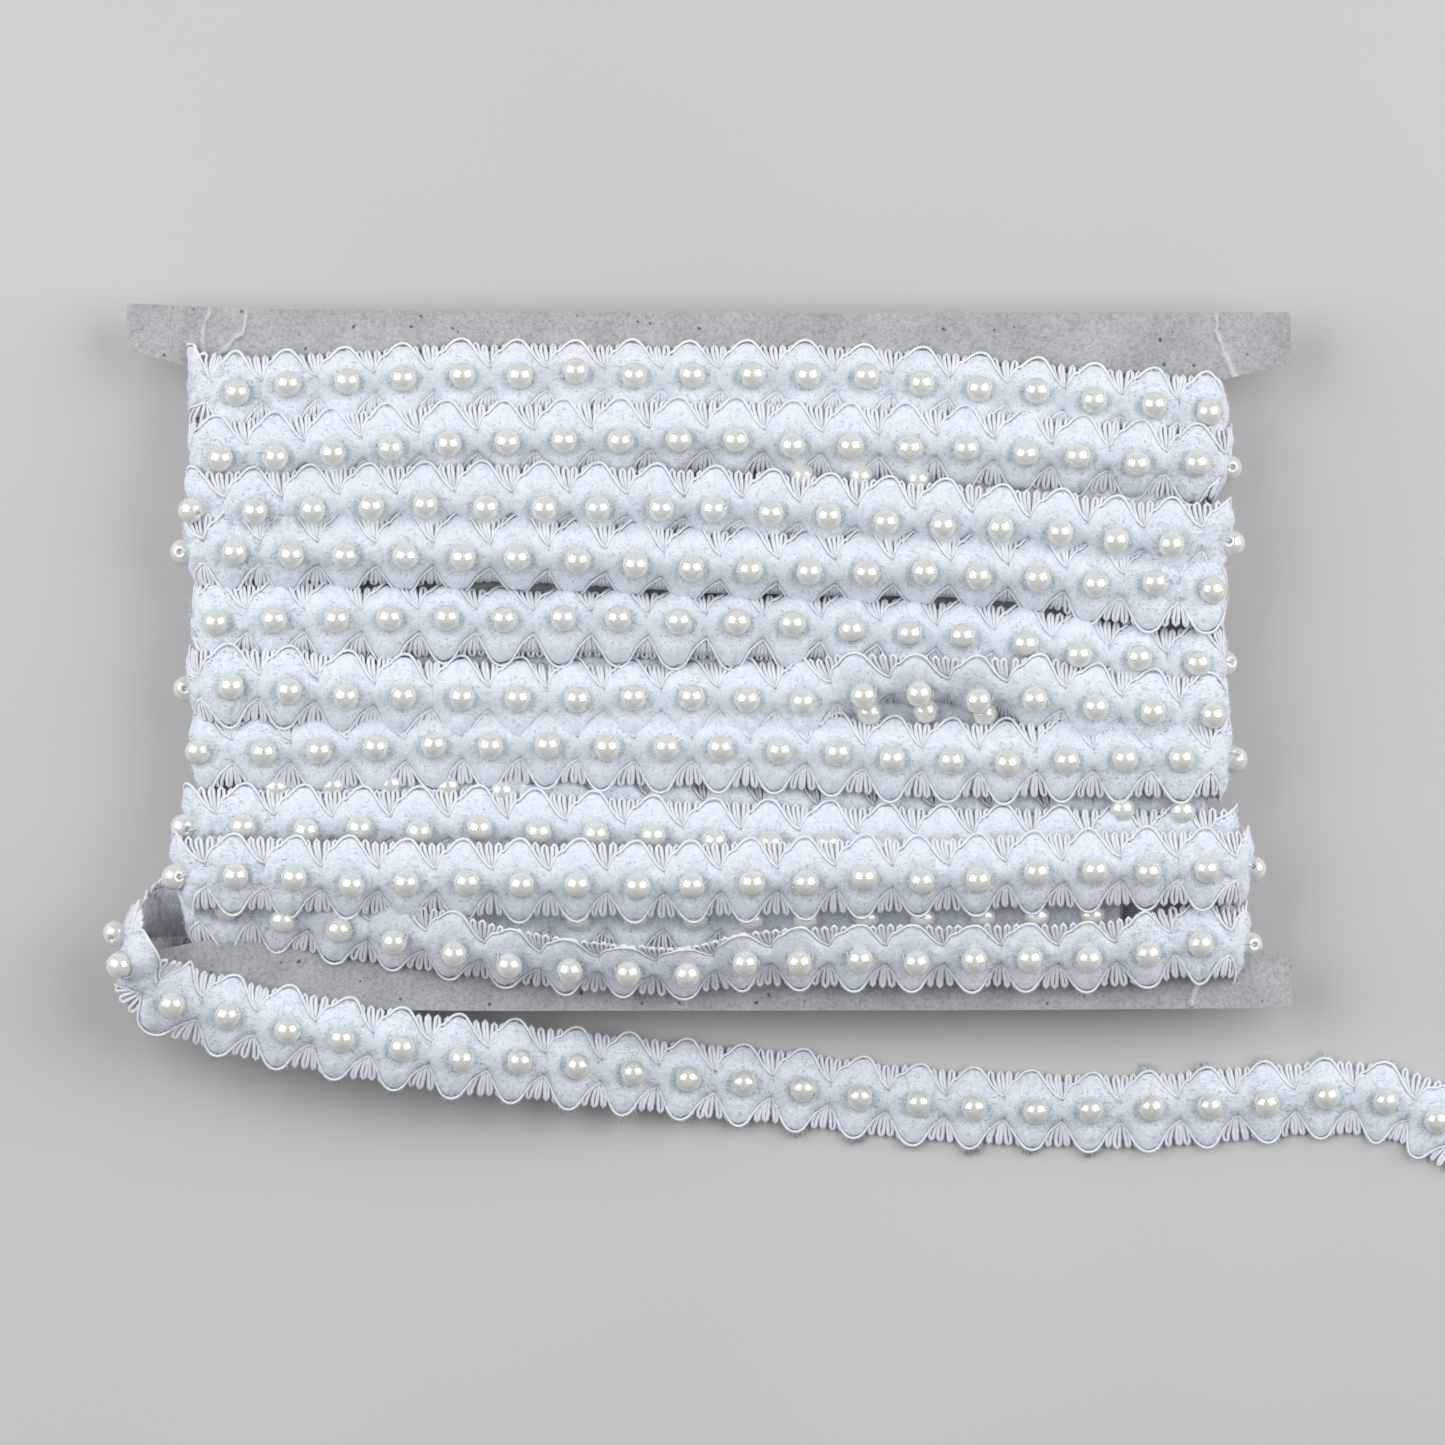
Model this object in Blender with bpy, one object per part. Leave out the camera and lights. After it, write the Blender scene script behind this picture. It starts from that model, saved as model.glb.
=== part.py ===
"""A plush and pearl braid wound in ten turns on a flared card, with its loose end laid beside it.

The card lies flat, face up, at the middle of the winding's thickness. The wound trim is one sleeve round the
card's neck: each turn is a ridge with the scallops of the braid, lapping the next one as shingles do, and flat
where it rests. The loose end leaves from under the winding on the left, stands on its edge as it turns, passes
over the card's ear and runs off to the right on the surface.

Sizes are in millimetres, from the card's centre across and from the surface up. MM turns them into metres.
"""

import math
from collections import namedtuple

import bmesh
import bpy
from mathutils import Vector

MM = 0.001
COLLECTION = "wound_pearl_trim"
CLEARANCE = 0.3

# The card
CARD_THICKNESS = 2.0
CARD_UNDERSIDE = 12.6
CARD_MIDDLE = CARD_UNDERSIDE + CARD_THICKNESS / 2
NECK_HALF_WIDTH = 110.5
CORNER_RADIUS = 1.2
CORNER_STEPS = 4
# From the upper left corner clockwise. The last column says which corners are cut round.
CARD_OUTLINE = [
    (-130.0, 79.3, True),
    (-103.0, 78.0, False),
    (-69.0, 77.6, False),
    (20.0, 77.1, False),
    (129.8, 77.3, True),
    (129.8, 65.7, True),
    (NECK_HALF_WIDTH, 61.3, False),
    (NECK_HALF_WIDTH, -62.3, False),
    (129.8, -66.6, True),
    (130.2, -78.0, True),
    (64.8, -78.5, False),
    (-46.8, -78.7, False),
    (-130.0, -78.0, True),
    (-130.0, -66.6, True),
    (-NECK_HALF_WIDTH, -62.4, False),
    (-NECK_HALF_WIDTH, 63.3, False),
    (-130.0, 69.1, True),
]

# The braid: one scalloped motif with its pearl to each pitch
PITCH = 12.8
HALF_WIDTH = 8.7
SCALLOP = 0.7
TAPE_THICKNESS = 1.0
PLUSH_THICKNESS = 3.3
WAIST_THICKNESS = 2.1
PILE_SHOULDER_PLACE = 0.55
PILE_SHOULDER_HEIGHT = 0.86

# The winding. Each row's centre line has its height up the card at the five places across in ROW_PLACES, and
# pearl is where one of its pearls lies. crest, upper and lower are the heights of its plush and its two edges
# above the surface, and left and right are its reach. lap is how far its upper edge shows towards the centre
# of the row above: past a half it lies on that row, and under a half beneath it.
ROW_PLACES = (-110.0, -55.0, 0.0, 55.0, 110.0)
Row = namedtuple("Row", "centre pearl crest upper lower lap left right")
ROWS = [
    Row((59.9, 63.1, 62.0, 60.5, 55.5), -4.0, 23.0, 17.8, 20.2, 0.5, 116.8, 116.2),
    Row((43.9, 47.4, 48.3, 46.3, 42.7), 6.0, 24.2, 23.3, 20.6, 0.62, 116.6, 116.4),
    Row((32.4, 34.1, 32.6, 29.8, 25.0), 1.0, 24.8, 23.8, 21.0, 0.66, 117.0, 116.6),
    Row((23.6, 22.2, 19.6, 18.3, 16.2), -3.8, 24.4, 23.4, 20.2, 0.70, 117.4, 116.2),
    Row((9.0, 8.7, 8.1, 5.0, -1.6), 5.8, 23.6, 20.2, 21.4, 0.54, 116.4, 116.0),
    Row((-6.4, -8.8, -9.0, -8.4, -13.1), -4.2, 24.6, 23.4, 22.6, 0.52, 116.8, 116.4),
    Row((-21.0, -20.1, -20.1, -22.4, -22.9), 2.7, 23.8, 21.6, 20.4, 0.36, 116.4, 117.0),
    Row((-37.2, -37.6, -38.8, -38.6, -38.4), 0.6, 23.6, 22.2, 20.8, 0.48, 117.6, 117.8),
    Row((-48.8, -50.1, -50.2, -48.7, -47.2), -3.6, 26.6, 25.4, 24.4, 0.80, 119.6, 121.2),
    Row((-60.6, -65.6, -69.0, -67.6, -62.8), -5.3, 22.4, 22.0, 16.8, 0.48, 118.6, 120.6),
]
TOP_EDGE_ABOVE = 7.2
BOTTOM_EDGE_BELOW = 5.6
EDGE_STEP = 0.3
SHOULDER = 0.45
CUSP_DEPTH = 2.0
CREST_FALL = 0.3
# The card shows in a gap between the fourth and fifth rows.
GAP_AFTER_ROW = 3
GAP_FLOOR = 16.4
GAP_LEFT, GAP_RIGHT, GAP_FADE = -62.0, 67.0, 18.0

FRONT_MOTIFS = 17
STEPS_A_MOTIF = 4
FRONT_HALF = FRONT_MOTIFS * PITCH / 2
PHASE_FADE = 10.0
TURN_STEPS = 6
TURN_ROUNDNESS = 0.8
SIDE_TOP_LEFT, SIDE_TOP_RIGHT, SIDE_BOTTOM = 62.6, 60.7, -61.8
SIDE_RIDGE = 1.5
BACK_EDGE_HEIGHT = 2.0
BACK_CUSP_HEIGHT = 1.2
BACK_END_HEIGHT = 7.0

# The loose end's centre line, on the back of its tape. bearing is the way its upper edge points, in degrees
# from the card's upward direction towards the right, and rise is how far that edge stands up.
Place = namedtuple("Place", "x y z bearing rise")
LOOSE_ROUTE = [
    Place(-112.6, -55.0, 7.8, 0, 16),
    Place(-121.5, -56.4, 8.6, 0, 28),
    Place(-125.9, -58.2, 10.4, 4, 42),
    Place(-129.2, -61.4, 15.2, 10, 55),
    Place(-129.6, -67.4, 22.0, 26, 42),
    Place(-120.4, -75.6, 19.6, 14, 10),
    Place(-107.7, -79.1, 17.8, 14, 4),
    Place(-94.3, -82.5, 16.8, 13, 4),
    Place(-76.0, -85.8, 16.4, 10, 8),
    Place(-57.5, -88.5, 14.4, 7, 14),
    Place(-36.7, -90.5, 9.8, 6, 13),
    Place(-16.6, -93.0, 5.0, 6, 8),
    Place(7.3, -95.4, 1.5, 5, 2),
    Place(27.0, -97.6, 0.0, 5, 0),
    Place(48.1, -99.7, 0.0, 3, 0),
    Place(72.6, -101.0, 0.0, 1, 0),
    Place(95.0, -101.4, 0.0, -2, 0),
    Place(115.1, -100.1, 0.0, -3, 0),
    Place(140.7, -98.8, 0.0, 0, 0),
    Place(153.7, -100.1, 0.0, 14, 0),
    Place(163.0, -103.8, 0.0, 27, 0),
    Place(171.0, -108.6, 0.0, 32, 0),
]
FIRST_LOOSE_PEARL = 18.6
ROUTE_SAMPLES = 24
POCKET_LENGTH = 12.0


def clear_scene():
    for obj in list(bpy.data.objects):
        bpy.data.objects.remove(obj, do_unlink=True)


def new_collection(name):
    collection = bpy.data.collections.new(name)
    bpy.context.scene.collection.children.link(collection)
    return collection


def material(name, colour, roughness, sheen=0.0):
    made = bpy.data.materials.new(name)
    made.use_nodes = True
    shader = made.node_tree.nodes["Principled BSDF"]
    shader.inputs["Base Color"].default_value = (*colour, 1.0)
    shader.inputs["Roughness"].default_value = roughness
    shader.inputs["Metallic"].default_value = 0.0
    shader.inputs["Sheen Weight"].default_value = sheen
    made.diffuse_color = (*colour, 1.0)
    return made


def blend(a, b, share):
    return a + (b - a) * share


def smooth_step(low, high, x):
    share = min(1.0, max(0.0, (x - low) / (high - low)))
    return share * share * (3 - 2 * share)


def through(a, b, c, d, share):
    """The Catmull-Rom curve from b to c."""
    return 0.5 * (
        2 * b
        + (c - a) * share
        + (2 * a - 5 * b + 4 * c - d) * share**2
        + (3 * b - a - 3 * c + d) * share**3
    )


def along(places, values, x):
    """The smooth curve through values at places, read at x and held level past its ends."""
    last = len(places) - 1
    x = min(places[last], max(places[0], x))
    i = max(k for k in range(last) if places[k] <= x)
    share = (x - places[i]) / (places[i + 1] - places[i])
    return through(values[max(i - 1, 0)], values[i], values[i + 1], values[min(i + 2, last)], share)


def lobe(distance):
    """1 at the middle of a motif and 0 at the cusp between two."""
    return 0.5 + 0.5 * math.cos(2 * math.pi * distance / PITCH)


# The card


def rounded(outline):
    """The outline's points, with an arc at each corner that is cut round."""
    points = []
    for i, (x, y, is_round) in enumerate(outline):
        corner = Vector((x, y))
        if not is_round:
            points.append(corner)
            continue
        before = (Vector(outline[i - 1][:2]) - corner).normalized()
        after = (Vector(outline[(i + 1) % len(outline)][:2]) - corner).normalized()
        for step in range(CORNER_STEPS + 1):
            share = step / CORNER_STEPS
            start, end = corner + before * CORNER_RADIUS, corner + after * CORNER_RADIUS
            first, second = start.lerp(corner, share), corner.lerp(end, share)
            points.append(first.lerp(second, share))
    return points


def grown(points, by):
    """A clockwise outline moved out by a distance."""
    moved = []
    for i, point in enumerate(points):
        before = (point - points[i - 1]).normalized()
        after = (points[(i + 1) % len(points)] - point).normalized()
        normal_before, normal_after = Vector((-before.y, before.x)), Vector((-after.y, after.x))
        middle = (normal_before + normal_after).normalized()
        moved.append(point + middle * (by / middle.dot(normal_before)))
    return moved


def board(name, points, thickness, collection):
    """A flat board of this outline, centred on the card's middle height."""
    curve = bpy.data.curves.new(name, "CURVE")
    curve.dimensions = "2D"
    curve.fill_mode = "BOTH"
    curve.extrude = thickness / 2 * MM
    spline = curve.splines.new("POLY")
    spline.points.add(len(points) - 1)
    for point, place in zip(spline.points, points):
        point.co = (place.x * MM, place.y * MM, 0.0, 1.0)
    spline.use_cyclic_u = True
    obj = bpy.data.objects.new(name, curve)
    obj.location.z = CARD_MIDDLE * MM
    collection.objects.link(obj)
    return obj


def as_mesh(obj):
    """The same object as a mesh whose caps are welded to its sides."""
    bpy.context.view_layer.update()
    evaluated = obj.evaluated_get(bpy.context.evaluated_depsgraph_get())
    mesh = bpy.data.meshes.new_from_object(evaluated)
    welded = bmesh.new()
    welded.from_mesh(mesh)
    bmesh.ops.remove_doubles(welded, verts=welded.verts, dist=1e-7)
    bmesh.ops.recalc_face_normals(welded, faces=welded.faces)
    welded.to_mesh(mesh)
    welded.free()
    made = bpy.data.objects.new(obj.name, mesh)
    made.matrix_world = obj.matrix_world
    obj.users_collection[0].objects.link(made)
    name = obj.name
    bpy.data.objects.remove(obj, do_unlink=True)
    made.name = name
    return made


def make_card(collection):
    card = as_mesh(board("card", rounded(CARD_OUTLINE), CARD_THICKNESS, collection))
    card.data.materials.append(material("grey_chipboard", (0.43, 0.45, 0.455), 0.85))
    return card


# The winding


def row_centre(i, x):
    return along(ROW_PLACES, ROWS[i].centre, x)


def row_border(i, x, distance):
    """Where row i - 1 ends and row i begins. The scallops of the row that lies on top shape it."""
    if i == 0:
        return row_centre(0, x) + TOP_EDGE_ABOVE + SCALLOP * lobe(distance)
    if i == len(ROWS):
        return row_centre(i - 1, x) - BOTTOM_EDGE_BELOW - SCALLOP * lobe(distance)
    above, below = row_centre(i - 1, x), row_centre(i, x)
    scallop = SCALLOP if ROWS[i].lap > 0.5 else -SCALLOP
    return blend(below, above, ROWS[i].lap) + scallop * (2 * lobe(distance) - 1)


def in_gap(x):
    """1 over the gap between rows that shows the card, fading to 0 past its ends."""
    return smooth_step(GAP_LEFT - GAP_FADE, GAP_LEFT, x) * smooth_step(-GAP_RIGHT - GAP_FADE, -GAP_RIGHT, -x)


def lined_up(i, x):
    """x shifted so that one of the row's steps falls on its pearls, and the distance from a pearl there."""
    step = PITCH / STEPS_A_MOTIF
    off = (ROWS[i].pearl + FRONT_HALF) % step
    shift = off - step if off > step / 2 else off
    moved = x + shift * smooth_step(0.0, PHASE_FADE, FRONT_HALF - abs(x))
    return moved, moved - ROWS[i].pearl


def front_point(i, line, x):
    """A point of row i on the front. The lines run from its upper edge to its lower one."""
    row = ROWS[i]
    x, distance = lined_up(i, x)
    centre = row_centre(i, x)
    upper, lower = row_border(i, x, distance), row_border(i + 1, x, distance)
    dip = CUSP_DEPTH * (1 - lobe(distance))
    places = (
        (upper - (EDGE_STEP if i else 0), row.upper),
        (blend(centre, upper, SHOULDER), row.crest - dip),
        (blend(centre, lower, SHOULDER), row.crest - CREST_FALL - dip),
        (lower + (EDGE_STEP if i < len(ROWS) - 1 else 0), row.lower),
    )
    y, z = places[line]
    if (i, line) in ((GAP_AFTER_ROW, 3), (GAP_AFTER_ROW + 1, 0)):
        z = blend(z, GAP_FLOOR, in_gap(x))
    return Vector((x, y, z))


def back_point(i, line, x):
    """A point of row i on the back, which runs straight between the row's ends and rests on its crests."""
    left, right = front_point(i, line, -FRONT_HALF), front_point(i, line, FRONT_HALF)
    y = blend(left.y, right.y, (x + FRONT_HALF) / (2 * FRONT_HALF))
    if line in (1, 2):
        return Vector((x, y, 0.0))
    if (i, line) in ((0, 0), (len(ROWS) - 1, 3)):
        return Vector((x, y, BACK_END_HEIGHT))
    return Vector((x, y, BACK_EDGE_HEIGHT + BACK_CUSP_HEIGHT * (1 - lobe(x))))


def side_height(y, side):
    """A place up the card moved to clear its ears, where the rows go round the neck."""
    top, bottom = front_point(0, 0, side * FRONT_HALF).y, front_point(len(ROWS) - 1, 3, side * FRONT_HALF).y
    side_top = SIDE_TOP_RIGHT if side > 0 else SIDE_TOP_LEFT
    return blend(SIDE_BOTTOM, side_top, (y - bottom) / (top - bottom))


def turn_point(i, line, side, angle):
    """A point of row i where it goes round the neck, angle being 90 degrees at the front and -90 at the back."""
    row = ROWS[i]
    start = front_point(i, line, side * FRONT_HALF) if angle > 0 else back_point(i, line, side * FRONT_HALF)
    reach = (row.right if side > 0 else row.left) - (0 if line in (1, 2) else SIDE_RIDGE)
    out = math.cos(math.radians(angle))
    up = abs(math.sin(math.radians(angle))) ** TURN_ROUNDNESS
    x = side * blend(FRONT_HALF, reach, out**TURN_ROUNDNESS)
    y = blend(start.y, side_height(start.y, side), out)
    return Vector((x, y, blend(CARD_MIDDLE, start.z, up)))


def round_the_card(i, line):
    """The points of one line of row i, once round the card from the front's left end."""
    steps = FRONT_MOTIFS * STEPS_A_MOTIF
    turn = [90 - 180 * (k + 1) / (TURN_STEPS + 1) for k in range(TURN_STEPS)]
    points = [front_point(i, line, blend(-FRONT_HALF, FRONT_HALF, k / steps)) for k in range(steps + 1)]
    points += [turn_point(i, line, 1, angle) for angle in turn]
    back_steps = steps // 2
    points += [back_point(i, line, blend(FRONT_HALF, -FRONT_HALF, k / back_steps)) for k in range(back_steps + 1)]
    points += [turn_point(i, line, -1, angle) for angle in reversed(turn)]
    return points


def loft(name, rings, collection):
    """A closed mesh through rings of equally many points, with a face across each end."""
    made = bmesh.new()
    verts = [[made.verts.new(point * MM) for point in ring] for ring in rings]
    count = len(verts[0])
    for first, second in zip(verts, verts[1:]):
        for k in range(count):
            after = (k + 1) % count
            made.faces.new((first[k], first[after], second[after], second[k]))
    made.faces.new(verts[0])
    made.faces.new(list(reversed(verts[-1])))
    bmesh.ops.triangulate(made, faces=made.faces)
    bmesh.ops.recalc_face_normals(made, faces=made.faces)
    mesh = bpy.data.meshes.new(name)
    made.to_mesh(mesh)
    made.free()
    obj = bpy.data.objects.new(name, mesh)
    collection.objects.link(obj)
    return obj


def cut(obj, cutter):
    cutter.hide_render = True
    cutter.display_type = "WIRE"
    boolean = obj.modifiers.new("clear_of_" + cutter.name, "BOOLEAN")
    boolean.operation = "DIFFERENCE"
    boolean.solver = "EXACT"
    boolean.object = cutter


def make_wound_trim(collection, cutters, plush):
    rings = [round_the_card(i, line) for i in range(len(ROWS)) for line in range(4)]
    wound = loft("wound_trim", rings, collection)
    wound.data.materials.append(plush)
    opening = grown(rounded(CARD_OUTLINE), CLEARANCE)
    cut(wound, as_mesh(board("card_opening", opening, CARD_THICKNESS + 2 * CLEARANCE, cutters)))
    cut(wound, make_pocket(cutters))
    return wound


# The loose end


def side_of(place):
    """The direction of the braid's upper edge at a place of the route."""
    bearing, rise = math.radians(place.bearing), math.radians(place.rise)
    level = math.cos(rise)
    return Vector((math.sin(bearing) * level, math.cos(bearing) * level, math.sin(rise)))


def route_frames():
    """Close-set places along the route: distance, centre, upper side and face direction."""
    centres, sides = [], []
    last = len(LOOSE_ROUTE) - 1
    points = [Vector(place[:3]) for place in LOOSE_ROUTE]
    edges = [side_of(place) for place in LOOSE_ROUTE]
    for i in range(last):
        for k in range(ROUTE_SAMPLES + (i == last - 1)):
            share = k / ROUTE_SAMPLES
            before, after = max(i - 1, 0), min(i + 2, last)
            centres.append(through(points[before], points[i], points[i + 1], points[after], share))
            sides.append(edges[i].lerp(edges[i + 1], share))
    frames, distance = [], 0.0
    for i, centre in enumerate(centres):
        ahead = (centres[min(i + 1, len(centres) - 1)] - centres[max(i - 1, 0)]).normalized()
        side = (sides[i] - ahead * sides[i].dot(ahead)).normalized()
        distance += (centre - centres[i - 1]).length if i else 0.0
        frames.append((distance, centre, side, ahead.cross(side)))
    return frames


def frame_at(frames, distance):
    i = max(k for k in range(len(frames) - 1) if frames[k][0] <= distance or k == 0)
    start, end = frames[i], frames[i + 1]
    share = min(1.0, max(0.0, (distance - start[0]) / (end[0] - start[0])))
    return tuple(start[k].lerp(end[k], share) for k in (1, 2, 3))


def braid_section(distance, extra=0.0):
    """The braid's section as (across, out of the tape's back): plush over a tape, scalloped at both edges."""
    half = HALF_WIDTH + SCALLOP * (2 * lobe(distance) - 1) + extra
    middle = blend(WAIST_THICKNESS, PLUSH_THICKNESS, lobe(distance)) + extra
    shoulder = middle * PILE_SHOULDER_HEIGHT
    edge = TAPE_THICKNESS + extra
    return [
        (half, -extra),
        (half, edge),
        (half * PILE_SHOULDER_PLACE, shoulder),
        (0.0, middle),
        (-half * PILE_SHOULDER_PLACE, shoulder),
        (-half, edge),
        (-half, -extra),
        (0.0, -extra),
    ]


def braid(name, frames, distances, extra, collection):
    rings = []
    for distance in distances:
        centre, side, face = frame_at(frames, distance)
        section = braid_section(distance - FIRST_LOOSE_PEARL, extra)
        ring = [centre + side * across + face * out for across, out in section]
        for point in ring:
            point.z = max(point.z, 0.0)
        rings.append(ring)
    return loft(name, rings, collection)


def make_loose_end(collection, plush):
    frames = route_frames()
    steps = round(frames[-1][0] / (PITCH / STEPS_A_MOTIF))
    distances = [frames[-1][0] * k / steps for k in range(steps + 1)]
    loose = braid("loose_end", frames, distances, 0.0, collection)
    loose.data.materials.append(plush)
    return loose


def make_pocket(cutters):
    """The space under the winding that the loose end comes out of."""
    frames = route_frames()
    steps = round(POCKET_LENGTH / (PITCH / STEPS_A_MOTIF))
    distances = [-CLEARANCE] + [POCKET_LENGTH * k / steps for k in range(1, steps + 1)]
    pocket = braid("loose_end_pocket", frames, distances, CLEARANCE, cutters)
    return pocket


def stand_on_centre(objects):
    """Moves everything so that the middle of its base is the origin."""
    bpy.context.view_layer.update()
    corners = []
    for obj in objects:
        evaluated = obj.evaluated_get(bpy.context.evaluated_depsgraph_get())
        corners += [obj.matrix_world @ Vector(corner) for corner in evaluated.bound_box]
    low = [min(corner[axis] for corner in corners) for axis in range(3)]
    high = [max(corner[axis] for corner in corners) for axis in range(3)]
    offset = Vector((-(low[0] + high[0]) / 2, -(low[1] + high[1]) / 2, -low[2]))
    for obj in bpy.data.objects:
        obj.location += offset


def main():
    clear_scene()
    parts = new_collection(COLLECTION)
    cutters = new_collection("cutters")
    plush = material("white_plush", (0.83, 0.86, 0.9), 0.95, sheen=0.4)
    objects = [make_card(parts), make_wound_trim(parts, cutters, plush), make_loose_end(parts, plush)]
    stand_on_centre(objects)


main()
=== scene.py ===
"""The looks of a plush and pearl braid wound on a grey card, with its loose end laid beside it.

The braid is one ribbon: a felted tape, plush scallops edged with a satin cord, loops of gimp thread between
them and a pearl on each. Every motif is mapped onto the ribbon's path, which goes ten times round the card
and then out to the left, over the card's ear and away to the right. Short strips of the layer below lie where
it shows between the rows.

Sizes are in millimetres. Places are given from the card's centre, and CARD_CENTRE takes them to the frame.
"""

import itertools
import math
from collections import namedtuple

import bpy
import numpy as np
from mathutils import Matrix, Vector


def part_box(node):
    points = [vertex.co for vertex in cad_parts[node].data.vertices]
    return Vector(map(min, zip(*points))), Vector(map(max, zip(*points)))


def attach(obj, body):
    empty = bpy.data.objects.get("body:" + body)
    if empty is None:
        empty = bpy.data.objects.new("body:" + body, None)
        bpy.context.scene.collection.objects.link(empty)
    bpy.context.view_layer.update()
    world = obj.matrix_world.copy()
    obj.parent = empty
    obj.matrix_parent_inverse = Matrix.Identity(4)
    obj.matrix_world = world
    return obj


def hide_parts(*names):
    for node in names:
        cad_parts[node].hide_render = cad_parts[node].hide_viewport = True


MM = 0.001
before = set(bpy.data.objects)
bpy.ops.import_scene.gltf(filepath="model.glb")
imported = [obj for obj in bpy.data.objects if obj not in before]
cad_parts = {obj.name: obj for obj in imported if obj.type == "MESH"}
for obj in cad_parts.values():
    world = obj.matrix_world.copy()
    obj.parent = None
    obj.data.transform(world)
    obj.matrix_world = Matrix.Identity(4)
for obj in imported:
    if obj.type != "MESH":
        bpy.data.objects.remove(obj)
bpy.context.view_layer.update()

# The card's own place in the frame
CARD_LEFT, CARD_BOTTOM = 130.0, 78.7
card_low = np.array(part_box("card")[0]) / MM
CARD_CENTRE = np.array((card_low[0] + CARD_LEFT, card_low[1] + CARD_BOTTOM, 0.0))

# The photograph
PHOTO_WIDTH_MM = 322.5
PHOTO_CENTRE = (2.9, -14.3)
CAMERA_HEIGHT = 3500.0
SHARP_HEIGHT = 15.0
SENSOR = 36.0

# The braid
PITCH = 12.8
TAPE_HALF_WIDTH = 6.4
TAPE_THICKNESS = 0.6
PLUSH_HEIGHT = 3.2
WAIST_HEIGHT = 2.4
PLUSH_BOTTOM = 0.7
PLUSH_INSET = 0.25
CORD_RADIUS = 0.33
CORD_HEIGHT = 1.05
THREAD_RADIUS = 0.44
LOOP_REACH = 8.05
PEARL_RADIUS = 3.0
PEARL_HEIGHT = 4.3
CURL = 0.03

# The scallop's outlines: half pitches from its middle, and the reach up or down from the centre line
UPPER_OUTLINE = np.array([
    (-1.0, 2.5), (-0.95, 3.7), (-0.86, 5.0), (-0.74, 5.9), (-0.6, 6.3), (-0.45, 7.4), (-0.28, 8.35),
    (-0.05, 8.8), (0.16, 8.4), (0.34, 7.0), (0.52, 5.2), (0.72, 3.6), (0.88, 2.8), (1.0, 2.5),
])
LOWER_OUTLINE = np.array([
    (-1.0, 2.5), (-0.92, 3.3), (-0.79, 4.4), (-0.63, 6.2), (-0.44, 8.0), (-0.25, 8.9), (-0.02, 9.0),
    (0.2, 8.1), (0.36, 6.3), (0.52, 4.7), (0.72, 3.6), (0.9, 2.8), (1.0, 2.5),
])

# How finely a run of braid is made: where it shows, and behind the card
Detail = namedtuple(
    "Detail", "stations top_corners cord_corners loop_step thread_corners pearl_corners pearl_bands"
)
FINE = Detail(25, 13, 4, 1, 4, 16, 9)
BELOW = Detail(18, 9, 3, 1, 3, 12, 7)
PLAIN = Detail(12, 7, 3, 2, 3, 10, 5)

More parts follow.
